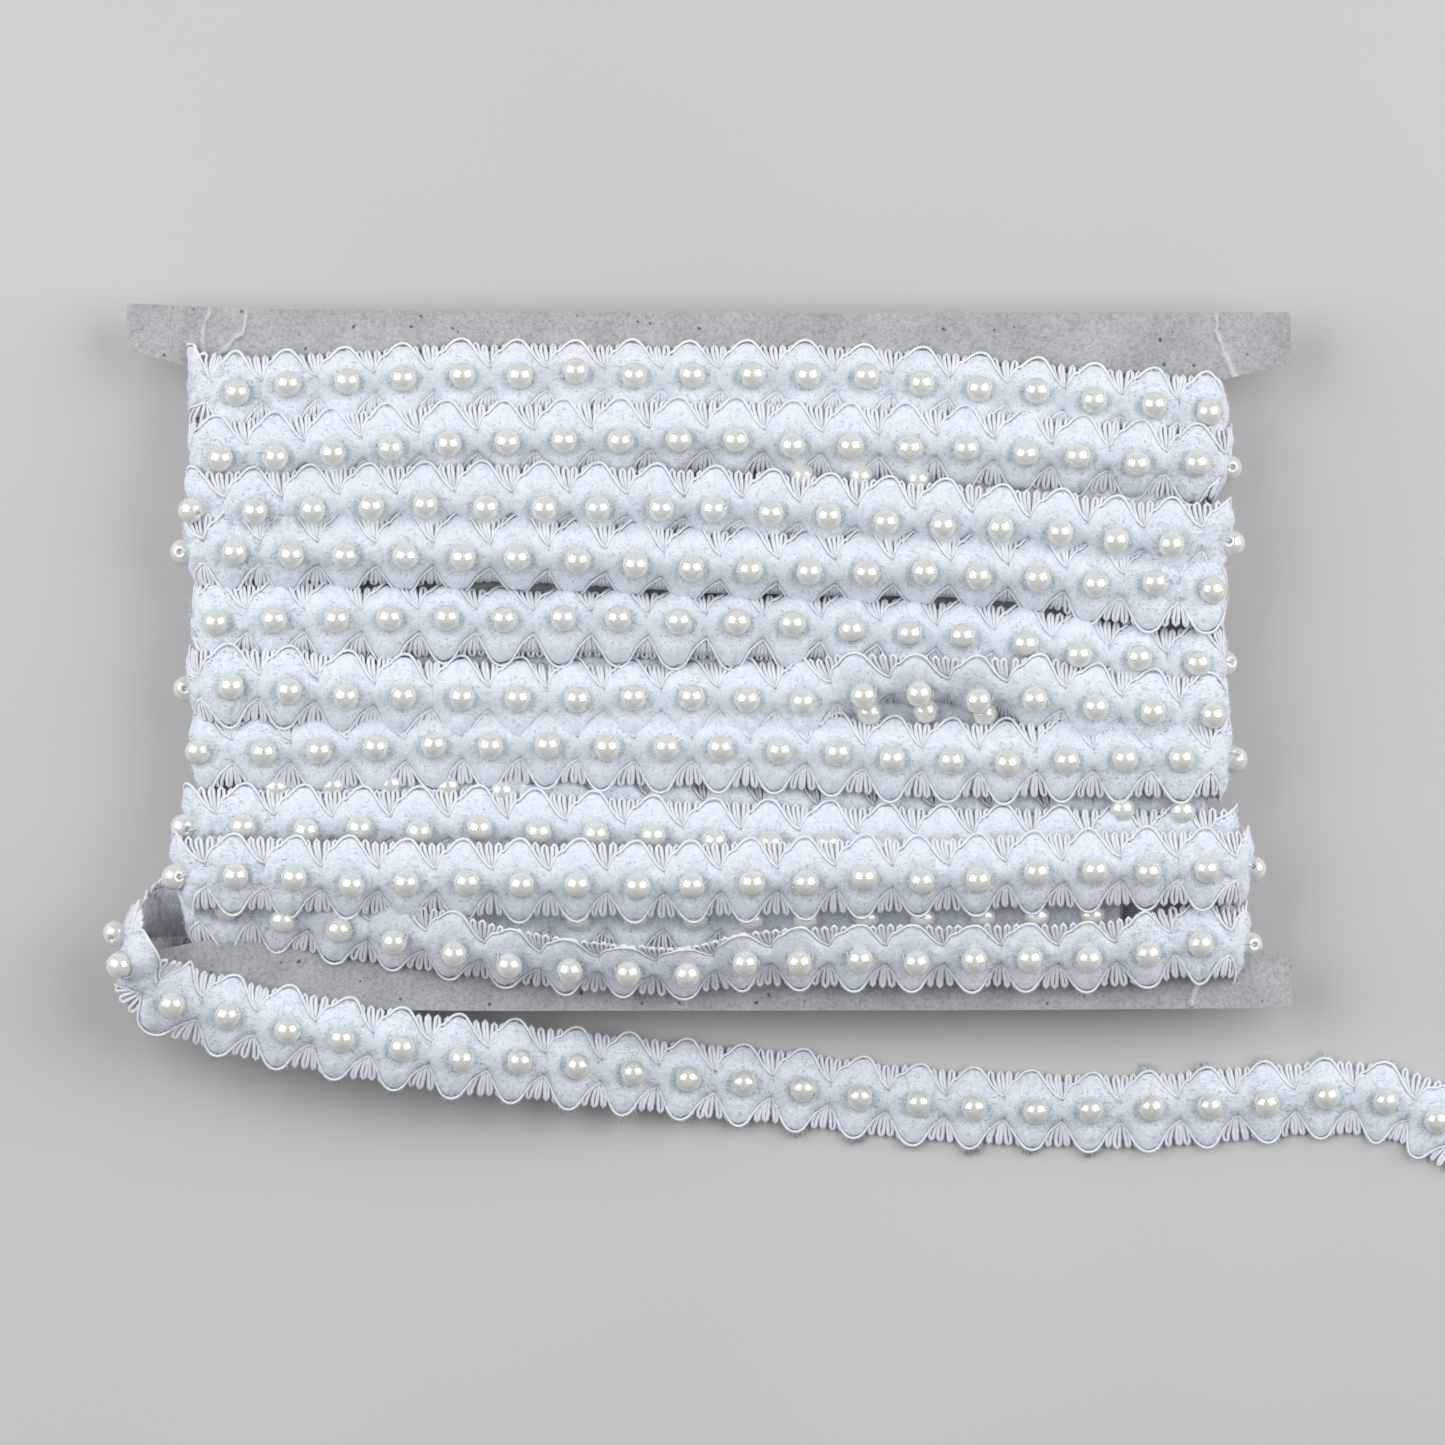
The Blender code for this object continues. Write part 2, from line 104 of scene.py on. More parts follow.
# The rows on the card's front. pearls is the height up the card of their pearls at each of the places across
# it, phase is where one of the pearls lies, tilt is how far the face leans down the card, in degrees, height
# is the tape's height above the surface, and curl is how far its edges bend back, in radians a millimetre.
# left and right are the reach of the plush where it goes round the card.
PLACES = (-110.0, -55.0, 0.0, 55.0, 110.0)
FOURTH_PLACES = (-110, -55, 0, 55, 74, 86, 98, 110)
SIXTH_PLACES = (-110, -55, 0, 22, 34, 48, 60, 73, 86, 110)
LAST_PLACES = (-110, -97, -84, -69, -56, -43, -30, -17, -5, 7, 20, 60, 85, 97, 110)
Row = namedtuple(
    "Row", "pearls phase pitch tilt height left right places curl", defaults=(PLACES, (CURL,) * 5)
)
ROWS = [
    Row((59.9, 63.1, 62.8, 60.9, 55.5), -4.0, 12.8, (-12, -14, -14, -14, -12),
        (18.2, 17.2, 17.0, 17.2, 18.2), 116.8, 116.2),
    Row((43.9, 47.4, 48.3, 46.3, 42.7), 6.0, 12.8, (10, 11, 11, 10, 10),
        (19.4,) * 5, 116.6, 116.4),
    Row((32.4, 34.1, 32.6, 29.8, 25.0), 1.0, 12.8, (14, 15, 15, 15, 14),
        (19.8, 19.6, 19.6, 19.6, 19.8), 117.0, 116.6),
    Row((23.6, 22.2, 19.6, 18.3, 17.6, 16.8, 16.2, 16.3), -3.8, 12.8, (12, 12, 12, 12, 10, 3, -6, -12),
        (19.9, 20.6, 20.8, 20.4, 19.6), 117.4, 116.2, FOURTH_PLACES,
        (0.04, 0.09, 0.11, 0.11, 0.09, 0.04, 0.03, 0.03)),
    Row((9.0, 8.7, 8.1, 5.0, -1.6), 5.8, 12.8, (-6, -12, -14, -8, -3),
        (18.8, 20.0, 20.2, 19.2, 18.6), 116.4, 116.0, PLACES, (0.03, 0.09, 0.1, 0.07, 0.03)),
    Row((-6.4, -8.8, -9.0, -8.9, -8.1, -8.1, -9.0, -9.4, -11.0, -13.1), -4.2, 12.8,
        (8, 2, -5, 4, 36, 46, 44, 22, 10, 8), (20.6, 19.0, 18.4, 21.5, 20.6), 116.8, 116.4,
        SIXTH_PLACES, (CURL,) * 10),
    Row((-21.0, -20.1, -20.1, -22.4, -22.9), 2.7, 12.8, (0, 0, 0, 0, 2),
        (17.6, 18.0, 18.8, 19.8, 21.6), 116.4, 117.0),
    Row((-38.0, -38.8, -41.2, -42.0, -42.4), 0.6, 13.0, (10, 12, 12, 12, 10),
        (17.6, 17.0, 16.8, 16.8, 17.6), 117.6, 117.8),
    Row((-48.8, -50.1, -50.2, -48.7, -47.2), -3.6, 12.7, (10, 12, 13, 12, 10),
        (23.8, 24.4, 24.4, 24.4, 23.8), 119.6, 121.2),
    Row((-55.6, -57.6, -60.6, -63.1, -65.7, -68.4, -69.8, -70.4, -70.7, -68.4, -67.5, -67.3, -67.1, -65.7,
         -62.8), -5.3, 12.8, (8, 14, 22, 30, 35, 39, 41, 42, 41, 35, 29, 27, 22, 14, 9),
        (15.2, 20.0, 20.8, 20.2, 18.6), 118.6, 120.6, LAST_PLACES,
        (0.03, 0.02, 0, 0, 0, -0.01, -0.04, -0.06, -0.06, -0.05, -0.04, -0.04, -0.03, -0.01, 0.03)),
]
FRONT_END = 104.0
STATION_STEP = 2.0
TURN_STEPS = 14
TURN_ROUNDNESS = 0.55
TURN_PILE = 2.4

# The rows behind the card run from one front row's right end to the next one's left end.
BACK_HEIGHT = 7.7
BACK_TILT = 10.0
LAST_TURN_LIFT = 3.4
START_ACROSS = -50.0
START_HEIGHT_UP_CARD = 62.0

# The loose end's centre line, on the back of its tape, close to the one in the part's source. bearing is the
# way its upper edge points, from straight up the card towards the right, and rise is how far that edge stands
# up, both in degrees.
Place = namedtuple("Place", "x y z bearing rise")
LOOSE_ROUTE = [Place(*place) for place in (
    (-112.6, -55.0, 7.8, 0, 16),
    (-121.5, -56.4, 8.6, 0, 32),
    (-125.9, -58.2, 9.6, 4, 48),
    (-128.2, -61.6, 13.5, 8, 62),
    (-127.8, -68.4, 22.0, 34, 46),
    (-120.4, -75.4, 19.0, 18, 14),
    (-107.7, -79.1, 17.4, 14, 4),
    (-94.3, -82.5, 16.8, 13, 2),
    (-76.0, -85.8, 16.4, 10, 2),
    (-57.5, -88.5, 14.4, 7, 0),
    (-36.7, -90.5, 9.8, 6, -5),
    (-16.6, -93.0, 5.0, 6, -7),
    (7.3, -95.4, 1.5, 5, -5),
    (27.0, -97.6, 0.3, 5, -2),
    (48.1, -99.7, 0.0, 3, 0),
    (72.6, -101.0, 0.0, 1, 0),
    (95.0, -101.4, 0.0, -2, 0),
    (115.1, -100.1, 0.0, -3, 0),
    (140.7, -98.8, 0.0, 0, 0),
    (153.7, -100.1, 0.0, 14, 0),
    (163.0, -103.8, 0.0, 27, 0),
    (171.0, -108.6, 0.0, 32, 0),
)]
ROUTE_SAMPLES = 24
LOOSE_PITCH = 13.07
BEND_PEARLS = (20.0, 30.7, 42.4, 55.6)
FLAT_BELOW = 4.0

# The layer below, where it shows: its height up the card at the five places, where one of its pearls lies,
# from where to where it is made, from where to where its pearls are hidden by the rows and are left out, and
# how deep its pearls sink in
Under = namedtuple("Under", "pearls phase left right hidden sunk", defaults=((0, 0), 0.0))
UNDER_ROWS = [
    Under((38.6, 39.0, 39.6, 39.8, 36.0), 20.8, 8, 104, (52, 104)),
    Under((-3.0, -3.0, -3.0, -3.4, -4.0), 2.0, -74, 44, (-74, 44)),
    Under((-12.4, -12.2, -12.0, -12.0, -12.4), 48.6, 22, 74),
    Under((-28.6, -28.8, -34.4, -35.6, -36.4), -58.4, -104, 90, (-40, 90), 2.8),
    Under((-28.6, -28.8, -30.6, -32.8, -33.6), 92.1, 80, 112),
    Under((-57.0, -57.4, -58.0, -57.4, -56.6), -3.7, -72, 104, (-72, -40)),
]
UNDER_HEIGHT = 14.9


# Numbers along a path


def smooth(places, values, x):
    """The Catmull-Rom curve through values at places, read at x and held level past the ends."""
    places, values = np.asarray(places, float), np.asarray(values, float)
    x = np.clip(x, places[0], places[-1])
    i = np.clip(np.searchsorted(places, x, side="right") - 1, 0, len(places) - 2)
    share = (x - places[i]) / (places[i + 1] - places[i])
    a, b = values[np.maximum(i - 1, 0)], values[i]
    c, d = values[i + 1], values[np.minimum(i + 2, len(places) - 1)]
    square, cube = 2 * a - 5 * b + 4 * c - d, 3 * b - a - 3 * c + d
    return 0.5 * (2 * b + (c - a) * share + square * share**2 + cube * share**3)


def unit(vectors):
    return vectors / np.maximum(np.linalg.norm(vectors, axis=-1, keepdims=True), 1e-9)


def noise(points, size, seed=0):
    """Smooth noise from -1 to 1 at points, an array of n by 3, with features of this size."""
    scaled = points / size
    cell = np.floor(scaled).astype(np.int64)
    part = scaled - cell
    part = part * part * (3 - 2 * part)
    total = np.zeros(len(points))
    for corner in itertools.product((0, 1), repeat=3):
        at = cell + np.array(corner)
        mixed = (at[:, 0] * 73856093) ^ (at[:, 1] * 19349663) ^ (at[:, 2] * 83492791) ^ (seed * 2654435761)
        mixed = ((mixed ^ (mixed >> 13)) * 1274126177) & 0x7FFFFFFF
        value = ((mixed ^ (mixed >> 16)) & 0xFFFF) / 0x7FFF - 1.0
        weight = np.prod(np.where(corner, part, 1 - part), axis=1)
        total += weight * value
    return total


class Ribbon:
    """A path with, at each distance along it, its centre, its upper side and the way its face looks."""

    def __init__(self, centres, sides, curl):
        centres = np.asarray(centres, float) + CARD_CENTRE
        steps = np.linalg.norm(np.diff(centres, axis=0), axis=1)
        self.distance = np.concatenate(([0.0], np.cumsum(steps)))
        self.centre = centres
        ahead = unit(np.gradient(centres, self.distance, axis=0))
        sides = np.asarray(sides, float)
        self.side = unit(sides - ahead * np.sum(sides * ahead, axis=1, keepdims=True))
        self.ahead = ahead
        self.curl = np.broadcast_to(curl, len(centres))

    def read(self, values, s):
        return np.stack([np.interp(s, self.distance, values[:, k]) for k in range(3)], axis=-1)

    def frame(self, s):
        ahead = unit(self.read(self.ahead, s))
        side = self.read(self.side, s)
        side = unit(side - ahead * np.sum(side * ahead, axis=-1, keepdims=True))
        return self.read(self.centre, s), ahead, side, np.cross(ahead, side)

    def at(self, s, b, c):
        """Points at distance s, b across to the upper side and c out of the tape's back, with the curl."""
        centre, _, side, face = self.frame(s)
        bend = np.interp(s, self.distance, self.curl)
        angle = bend * b
        across = b * (1 - angle**2 / 6) + c * np.sin(angle)
        out = c * np.cos(angle) - bend * b**2 / 2 * (1 - angle**2 / 12)
        return centre + side * across[..., None] + face * out[..., None]


# The path


def front_station(row, x):
    tilt = np.radians(smooth(row.places, row.tilt, x))
    y = smooth(row.places, row.pearls, x) + PEARL_HEIGHT * np.sin(tilt)
    return np.array((x, y, smooth(PLACES, row.height, x))), tilt


def side_of(tilt, outward):
    """The direction of the upper side of a ribbon that goes round the card, tilted outwards."""
    return np.array((0.0, math.cos(tilt), 0.0)) + np.array(outward) * math.sin(tilt)


def turn(start, start_tilt, end, end_tilt, reach, hand):
    """The stations of a half turn round the card's right or left edge, flattened at its side."""
    middle, radius = (start[2] + end[2]) / 2, (start[2] - end[2]) / 2
    out = reach - TURN_PILE - FRONT_END
    stations = []
    for angle in np.linspace(0, math.pi, TURN_STEPS + 2)[1:-1]:
        share = 0.5 - 0.5 * math.cos(angle)
        tilt = start_tilt + (end_tilt - start_tilt) * share
        x = hand * (FRONT_END + out * math.sin(angle) ** TURN_ROUNDNESS)
        z = middle + radius * math.copysign(abs(math.cos(angle)) ** TURN_ROUNDNESS, math.cos(angle))
        centre = (x, start[1] + (end[1] - start[1]) * share, z)
        outward = (hand * math.sin(angle), 0.0, math.cos(angle))
        stations.append((centre, side_of(tilt, outward)))
    return stations


def back_ends(i):
    """The heights up the card of the ends, right and left, of the row behind that leaves front row i."""
    right = front_station(ROWS[i], FRONT_END)[0][1]
    if i + 1 < len(ROWS):
        left = front_station(ROWS[i + 1], -FRONT_END)[0][1]
    else:
        left = LOOSE_ROUTE[0].y
    return right, left


def back_station(i, x):
    """Row i behind the card. The last two cross near the left edge, so the first lies closer to the card."""
    right, left = back_ends(i)
    share = (FRONT_END - x) / (2 * FRONT_END)
    late = len(ROWS) - 2 <= i
    y = right + (left - right) * (share**3 if late else share)
    lift = LAST_TURN_LIFT * share**3 if i == len(ROWS) - 2 else 0.0
    tilt = BACK_TILT
    if i == len(ROWS) - 1:
        tilt = BACK_TILT - (BACK_TILT + LOOSE_ROUTE[0].rise) * share**2
    return np.array((x, y, BACK_HEIGHT + lift)), math.radians(tilt)


def loose_stations():
    """The close-set places of the loose end's route."""
    last = len(LOOSE_ROUTE) - 1
    at = np.concatenate([np.arange(last * ROUTE_SAMPLES) / ROUTE_SAMPLES, [last]])
    points = np.array([place[:3] for place in LOOSE_ROUTE])
    centres = np.stack([smooth(range(last + 1), points[:, k], at) for k in range(3)], axis=1)
    bearing = np.radians([place.bearing for place in LOOSE_ROUTE])
    rise = np.radians([place.rise for place in LOOSE_ROUTE])
    edges = np.stack([np.sin(bearing) * np.cos(rise), np.cos(bearing) * np.cos(rise), np.sin(rise)], axis=1)
    sides = np.stack([np.interp(at, range(last + 1), edges[:, k]) for k in range(3)], axis=1)
    return centres, sides


def braid_path():
    """The whole length's stations. Also where the pearls of the front rows lie, as station numbers."""
    centres, sides, curls, front_pearls = [], [], [], []

    def add(stations, curl=CURL):
        for centre, side in stations:
            centres.append(centre)
            sides.append(side)
            curls.append(curl)

    front_steps = int(2 * FRONT_END / STATION_STEP)
    across = np.linspace(-FRONT_END, FRONT_END, front_steps + 1)
    start = np.array((START_ACROSS, START_HEIGHT_UP_CARD, BACK_HEIGHT + LAST_TURN_LIFT))
    for x in np.arange(START_ACROSS, -FRONT_END, -STATION_STEP):
        add([((x, start[1], start[2]), side_of(math.radians(BACK_TILT), (0, 0, -1)))])
    last_back, last_tilt = np.array((-FRONT_END, start[1], start[2])), math.radians(BACK_TILT)
    for i, row in enumerate(ROWS):
        first, first_tilt = front_station(row, -FRONT_END)
        add(reversed(turn(first, first_tilt, last_back, last_tilt, row.left, -1)))
        front_start = len(centres)
        for x in across:
            centre, tilt = front_station(row, x)
            add([(centre, side_of(tilt, (0, 0, 1)))], float(smooth(row.places, row.curl, x)))
        count = int((FRONT_END - row.phase) // row.pitch)
        before = int((FRONT_END + row.phase) // row.pitch)
        pearls = row.phase + row.pitch * np.arange(-before, count + 1)
        front_pearls.append(front_start + (pearls + FRONT_END) / (2 * FRONT_END) * front_steps)
        end, end_tilt = front_station(row, FRONT_END)
        back, back_tilt = back_station(i, FRONT_END)
        add(turn(end, end_tilt, back, back_tilt, row.right, 1))
        for x in across[::-1]:
            centre, tilt = back_station(i, x)
            add([(centre, side_of(tilt, (0, 0, -1)))])
        last_back, last_tilt = back_station(i, -FRONT_END)
    loose_start = len(centres)
    for centre, side in zip(*loose_stations()):
        add([(centre, side)], CURL * min(1.0, centre[2] / FLAT_BELOW))
    return np.array(centres), np.array(sides), np.array(curls), front_pearls, loose_start


rng = np.random.default_rng(17)


def place_pearls(ribbon, front_pearls, loose_start):
    """The distances of all motifs: measured on the front and spread evenly between. Also the number of the
    first one on the loose end."""
    station = np.arange(len(ribbon.distance))
    found = [0.5 * PITCH]
    for numbers in front_pearls:
        here = np.interp(numbers, station, ribbon.distance)
        gaps = max(1, round((here[0] - found[-1]) / PITCH))
        found += list(np.linspace(found[-1], here[0], gaps + 1)[1:])
        found += list(here[1:])
    first = ribbon.distance[loose_start] + BEND_PEARLS[0]
    gaps = max(1, round((first - found[-1]) / PITCH))
    found += list(np.linspace(found[-1], first, gaps + 1)[1:])
    first_loose = len(found) - 2
    found += [ribbon.distance[loose_start] + place for place in BEND_PEARLS[1:]]
    while found[-1] + LOOSE_PITCH * 1.5 < ribbon.distance[-1]:
        found.append(found[-1] + LOOSE_PITCH)
    return np.array(found), first_loose


# Meshes


def make_piece(name, verts, faces, material, slot, pile=None):
    """A piece from points in millimetres and faces of three or more corners, riding on the part. pile is
    three numbers at each point, for the material."""
    mesh = bpy.data.meshes.new(name)
    verts = np.asarray(verts, np.float32) * MM
    mesh.vertices.add(len(verts))
    mesh.vertices.foreach_set("co", verts.ravel())
    sizes = np.concatenate([np.full(len(block), block.shape[1]) for block in faces])
    corners = np.concatenate([block.ravel() for block in faces])
    mesh.loops.add(len(corners))
    mesh.loops.foreach_set("vertex_index", corners.astype(np.int32))
    mesh.polygons.add(len(sizes))
    starts = np.concatenate(([0], np.cumsum(sizes)[:-1]))
    mesh.polygons.foreach_set("loop_start", starts.astype(np.int32))
    mesh.polygons.foreach_set("use_smooth", np.full(len(sizes), True))
    mesh.update(calc_edges=True)
    if pile is not None:
        stored = mesh.attributes.new("pile", "FLOAT_VECTOR", "POINT")
        stored.data.foreach_set("vector", np.asarray(pile, np.float32).ravel())
    mesh.validate()
    mesh.materials.append(material)
    obj = bpy.data.objects.new(name, mesh)
    bpy.context.scene.collection.objects.link(obj)
    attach(obj, "root")
    return obj


def tube_faces(rings, corners):
    """The sides of a tube of rings, each of this many corners, and a face over each end."""
    ring = np.arange(rings - 1)[:, None] * corners
    here = np.arange(corners)[None, :]
    after = (here + 1) % corners
    quads = np.stack([ring + here, ring + after, ring + corners + after, ring + corners + here], axis=-1)
    ends = np.stack([np.arange(corners)[::-1], (rings - 1) * corners + np.arange(corners)])
    return [quads.reshape(-1, 4), ends]


def repeated(faces, count, size):
    """The faces of this many copies of a shape of size points."""
    shift = np.arange(count)[:, None, None] * size
    return [(block + shift).reshape(-1, block.shape[1]) for block in faces]


def rings_round(across, up, corners):
    """Rings of this many corners and of radius 1, one in each plane of across and up."""
    angle = 2 * math.pi * np.arange(corners) / corners
    return np.cos(angle)[:, None] * across[..., None, :] + np.sin(angle)[:, None] * up[..., None, :]


def tubes(paths, out, radius, corners):
    """Round tubes along paths, an array of tube by point by 3. out is a way near square to each path."""
    count, points, _ = paths.shape
    ahead = unit(np.gradient(paths, axis=1))
    across = unit(np.cross(ahead, out))
    verts = paths[:, :, None, :] + rings_round(across, np.cross(across, ahead), corners) * radius
    return verts.reshape(-1, 3), repeated(tube_faces(points, corners), count, points * corners)


def copies(template, faces, centres, axes):
    """Copies of a template, each turned so that its own x, y and z are the given axes."""
    verts = np.einsum("vi,kij->kvj", template, axes) + centres[:, None, :]
    return verts.reshape(-1, 3), repeated(faces, len(centres), len(template))


def joined(parts):
    """Several (points, faces) as one."""
    verts, faces, start = [], {}, 0
    for points, blocks in parts:
        verts.append(points)
        for block in blocks:
            faces.setdefault(block.shape[1], []).append(block + start)
        start += len(points)
    return np.concatenate(verts), [np.concatenate(blocks) for blocks in faces.values()]


# The braid's parts


def outline(u, hand):
    """The scallop's reach at u half pitches from its middle, up if hand is 1 and down if it is -1."""
    table = UPPER_OUTLINE if hand > 0 else LOWER_OUTLINE
    return smooth(table[:, 0], table[:, 1], u)


def stations(detail):
    return np.linspace(-1, 1, detail.stations + 1)[:-1]


SIZE_VARIES, FULLNESS_VARIES = 0.03, 0.12
SKEW = (-0.07, 0.1)
PRESSED_FULLNESS, PRESSED_PEARL, PRESSED_LUMPS = 0.45, 1.7, 2.3


class Motifs:
    """A run of motifs on a ribbon. back and ahead are the lengths of their halves."""

    def __init__(self, ribbon, pearls, first, last):
        self.ribbon = ribbon
        middle = (pearls[1:] + pearls[:-1]) / 2
        starts = np.concatenate(([pearls[0] - PITCH / 2], middle))
        ends = np.concatenate((middle, [pearls[-1] + PITCH / 2]))
        self.at, self.start, self.end = pearls[first:last], starts[first:last], ends[first:last]
        self.count, self.length = last - first, self.end[-1] - self.start[0]
        self.size = 1 + rng.uniform(-SIZE_VARIES, SIZE_VARIES, (self.count, 2))
        self.skew = rng.uniform(*SKEW, (self.count, 2))
        self.fullness = 1 + rng.uniform(-FULLNESS_VARIES, FULLNESS_VARIES, self.count)
        self.pearled = np.full(self.count, True)
        self.sunk = np.zeros(self.count)
        self.lumpy = np.ones(self.count)

    def distance(self, u):
        """Distances along the ribbon at u half pitches from each motif's middle: motif by u."""
        u = np.atleast_2d(u)
        back, ahead = (self.at - self.start)[:, None], (self.end - self.at)[:, None]
        return self.at[:, None] + np.where(u < 0, u * back, u * ahead)

    def press(self, which):
        """Press down the pile and the pearls of some motifs, where the braid is pulled round the card."""
        self.fullness[which] *= PRESSED_FULLNESS
        self.sunk[which] = PRESSED_PEARL
        self.lumpy[which] = PRESSED_LUMPS

    def reach(self, u, hand):
        """The scallops' reach at u half pitches from each motif's middle, each with its size and slant."""
        u = np.atleast_2d(u)
        which = 0 if hand > 0 else 1
        return outline(u - self.skew[:, which, None] * (1 - u**2), hand) * self.size[:, which, None]


PILE_LUMP, PILE_CLUMP = 1.15, 3.1
PILE_LUMP_SIZE, PILE_CLUMP_SIZE = 0.22, 0.2
PEARL_SEAT_RADIUS, PEARL_SEAT_DEPTH, PEARL_SEAT_WIDTH = 2.9, 0.5, 0.8
CREASE_WIDTH, CREASE_DEPTH = 0.7, 0.4
CREASE_STARTS, CREASE_FADE = 3.8, 2.0
CROWN_FLATNESS, CROWN_ROUNDNESS = 2.6, 0.6
BOTTOM_SHARES = (0.8, 0.0, -0.8)


def pile_surface(motifs, u, v):
    """The top of the pile at u half pitches along and the share v of the reach across, motif by u by v:
    distance along, offset across, height, and the offset along from the pearl."""
    s = motifs.distance(u)[..., None]
    upper, lower = motifs.reach(u, 1)[..., None], motifs.reach(u, -1)[..., None]
    full = 0.5 + 0.5 * np.cos(math.pi * np.atleast_2d(u)[..., None])
    b = v * (np.where(v > 0, upper, lower) - PLUSH_INSET)
    crown = WAIST_HEIGHT + (PLUSH_HEIGHT - WAIST_HEIGHT) * full
    crown = crown * (0.5 + 0.5 * motifs.fullness[:, None, None])
    top = CORD_HEIGHT + (crown - CORD_HEIGHT) * (1 - np.abs(v) ** CROWN_FLATNESS) ** CROWN_ROUNDNESS
    along = s - motifs.at[:, None, None]
    from_pearl = np.hypot(along, b)
    top = top - PEARL_SEAT_DEPTH * np.exp(-(((from_pearl - PEARL_SEAT_RADIUS) / PEARL_SEAT_WIDTH) ** 2))
    faded = np.clip((from_pearl - CREASE_STARTS) / CREASE_FADE, 0, 1)
    top = top - CREASE_DEPTH * np.exp(-((along / CREASE_WIDTH) ** 2)) * faded
    return s + 0 * b, b, top, along + 0 * b


BEARING_FADE = 0.3


def pile_numbers(along, b, u):
    """The pile value: the bearing from the pearl, fading out towards the next motif, and the distance."""
    far = np.maximum(np.hypot(along, b), 0.3)
    fade = np.clip((1 - np.abs(u)) / BEARING_FADE, 0, 1)
    fade = fade * fade * (3 - 2 * fade)
    return np.stack([along / far * fade, b / far * fade, far], axis=1)


def plush(motifs, detail):
    """The plush scallops as one body, waisted between motifs, and its pile value."""
    u = stations(detail)
    top_shares = np.sin(np.linspace(-math.pi / 2, math.pi / 2, detail.top_corners))
    v = np.concatenate((top_shares, BOTTOM_SHARES))[None, None, :]
    s, b, top, along = pile_surface(motifs, u, v)
    is_top = np.arange(v.size) < detail.top_corners
    c = np.where(is_top, top, PLUSH_BOTTOM)
    s, b, c, along = s.ravel(), b.ravel(), c.ravel(), along.ravel()
    points = motifs.ribbon.at(s, b, c)
    _, _, side, face = motifs.ribbon.frame(s)
    edge = np.broadcast_to(v, (motifs.count, len(u), v.size)).ravel()
    shown = np.broadcast_to(is_top, (motifs.count, len(u), v.size)).ravel()
    normal = unit(side * (edge**3)[:, None] + face * np.sqrt(np.clip(1 - edge**2, 0, 1))[:, None] + 1e-6)
    lump = PILE_LUMP_SIZE * noise(points, PILE_LUMP, 1) + PILE_CLUMP_SIZE * noise(points, PILE_CLUMP, 2)
    lump = lump * np.repeat(motifs.lumpy, len(u) * v.size)
    points = points + normal * (lump * shown * (1 - 0.7 * np.abs(edge) ** 6))[:, None]
    pile = pile_numbers(along, b, np.broadcast_to(u[:, None], (motifs.count, len(u), v.size)).ravel())
    rings = motifs.count * len(u)
    return points, tube_faces(rings, v.size), pile


FIBRE_FOOT, TURN_FIBRE_FOOT = 0.09, 0.11
FIBRE_ROOT = 0.12
FIBRE_LENGTH = (0.4, 1.0)


def fuzz(motifs, counts, longer):
    """Single fibres that stand out of the pile, as thin spikes leaning outwards. counts is how many each
    motif has, and longer is how much longer they are on it."""
    size = (motifs.count, counts.max())
    u = rng.uniform(-1, 1, size)
    v = rng.uniform(0.1, 1.0, size) ** 0.6 * rng.choice((-1, 1), size)
    kept = (np.arange(size[1]) < counts[:, None]).ravel()
    s, b, top, along = (part.ravel()[kept] for part in pile_surface(motifs, u, v[..., None]))
    u, v = u.ravel()[kept], v.ravel()[kept]
    foot = motifs.ribbon.at(s, b, top - FIBRE_ROOT)
    _, ahead, side, face = motifs.ribbon.frame(s)
    radial = unit(ahead * along[:, None] + side * b[:, None])
    edge = np.abs(v[:, None]) ** 3
    lean = radial * (0.35 + 0.75 * edge) + face * (1.1 - 0.8 * edge)
    lean = unit(lean + rng.normal(0, 0.3, lean.shape))
    length = rng.uniform(*FIBRE_LENGTH, len(s)) * np.repeat(longer, counts)
    radius = np.repeat(np.where(longer > 1, TURN_FIBRE_FOOT, FIBRE_FOOT), counts)
    return spikes(foot, lean, ahead, length, radius, pile_numbers(along, b, u))


def spikes(foot, lean, ahead, length, radius, pile):
    """Thin three-sided spikes, each with its pile value."""
    tip = foot + lean * length[:, None]
    across = unit(np.cross(lean, ahead + 0.1))
    radius = np.broadcast_to(radius, len(foot))[:, None, None]
    ring = rings_round(across, np.cross(across, lean), 3) * radius
    points = np.concatenate((foot[:, None, :] + ring, tip[:, None, :]), axis=1).reshape(-1, 3)
    corners = np.array([(0, 1, 3), (1, 2, 3), (2, 0, 3), (2, 1, 0)])
    return points, repeated([corners], len(foot), 4), np.repeat(pile, 4, axis=0)


def edge_cords(motifs, detail):
    """The satin cord along the upper and the lower outline."""
    parts = []
    u = stations(detail)
    s = motifs.distance(u)
    for hand in (1, -1):
        b = hand * (motifs.reach(u, hand) + 0.2)
        full = 0.5 + 0.5 * np.cos(math.pi * u)
        c = CORD_HEIGHT + 0.2 + 0.3 * full[None, :] ** 0.5 + 0 * s
        path = motifs.ribbon.at(s.ravel(), b.ravel(), c.ravel())
        face = motifs.ribbon.frame(s.ravel())[3]
        parts.append(tubes(path[None], face[None], CORD_RADIUS, detail.cord_corners))
    return joined(parts)


# A loop's points, the last its tip: share of its offset along, its own half width, its reach and its height
LOOP_HALF = np.array([
    (0.36, 0.24, 2.3, 0.95),
    (0.78, 0.44, 4.8, 1.0),
    (1.0, 0.54, 6.5, 0.95),
    (1.0, 0.46, 7.5, 0.85),
    (1.0, 0.0, LOOP_REACH, 0.8),
])
LOOPS = np.array((-5.33, -3.2, -1.07, 1.07, 3.2, 5.33))
LOOP_DROOP = 20.0


